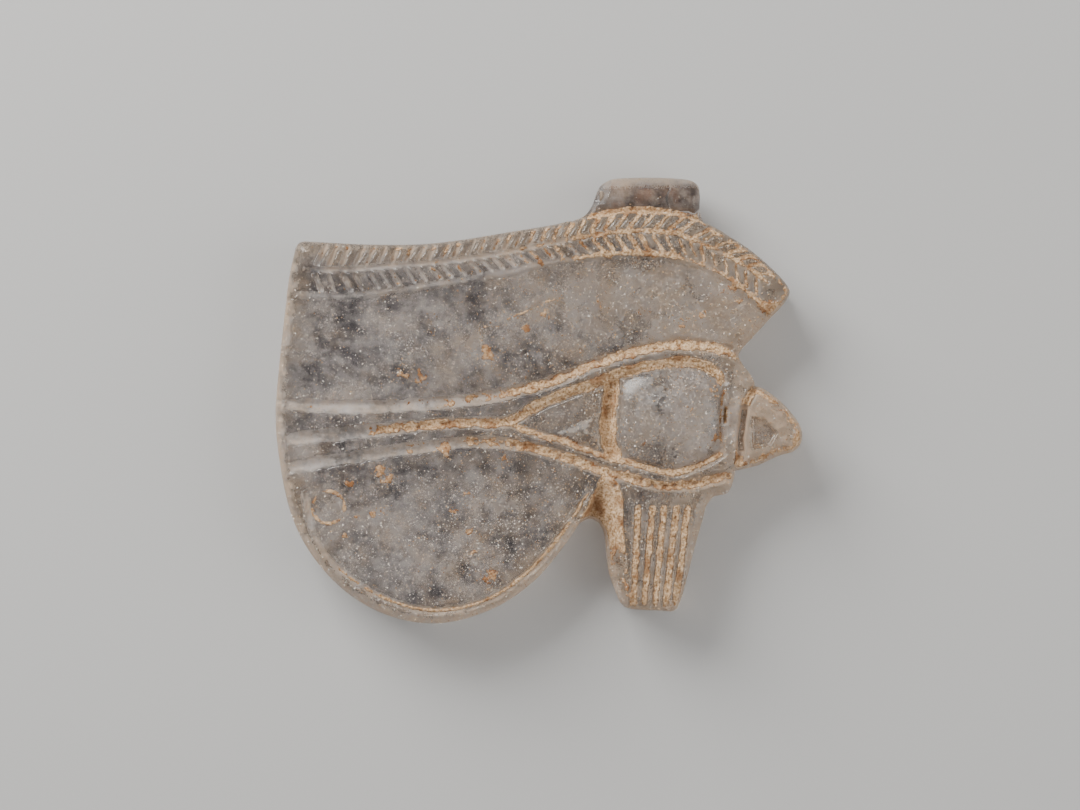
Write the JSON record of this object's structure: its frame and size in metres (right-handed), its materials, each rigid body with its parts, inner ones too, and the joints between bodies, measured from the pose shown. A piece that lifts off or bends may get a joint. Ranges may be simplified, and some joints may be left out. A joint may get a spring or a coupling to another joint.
{
  "type": "wedjat eye amulet",
  "caption": "Flat carved stone eye amulet with a herringbone brow, grooved eyelids, a domed eyeball, a rounded lobe, a fluted bar and a bored suspension tube.",
  "frame": {"origin": "middle of the amulet's length and height, on the flat back that it lies on", "axes": "+X along the length, from the blunt left edge to the tear duct; +Y towards the brow and its suspension tube; +Z out of the carved front, up when the amulet lies on its back"},
  "size_m": [0.04, 0.034, 0.0063],
  "materials": {
    "rock_crystal": "polished fields with frosted grooves and weathered rims",
    "burial_soil": "matt dry crust in the grooves and recesses"
  },
  "bodies": {
    "root": {"wedjat_eye": "rock_crystal"}
  },
  "joints": []
}
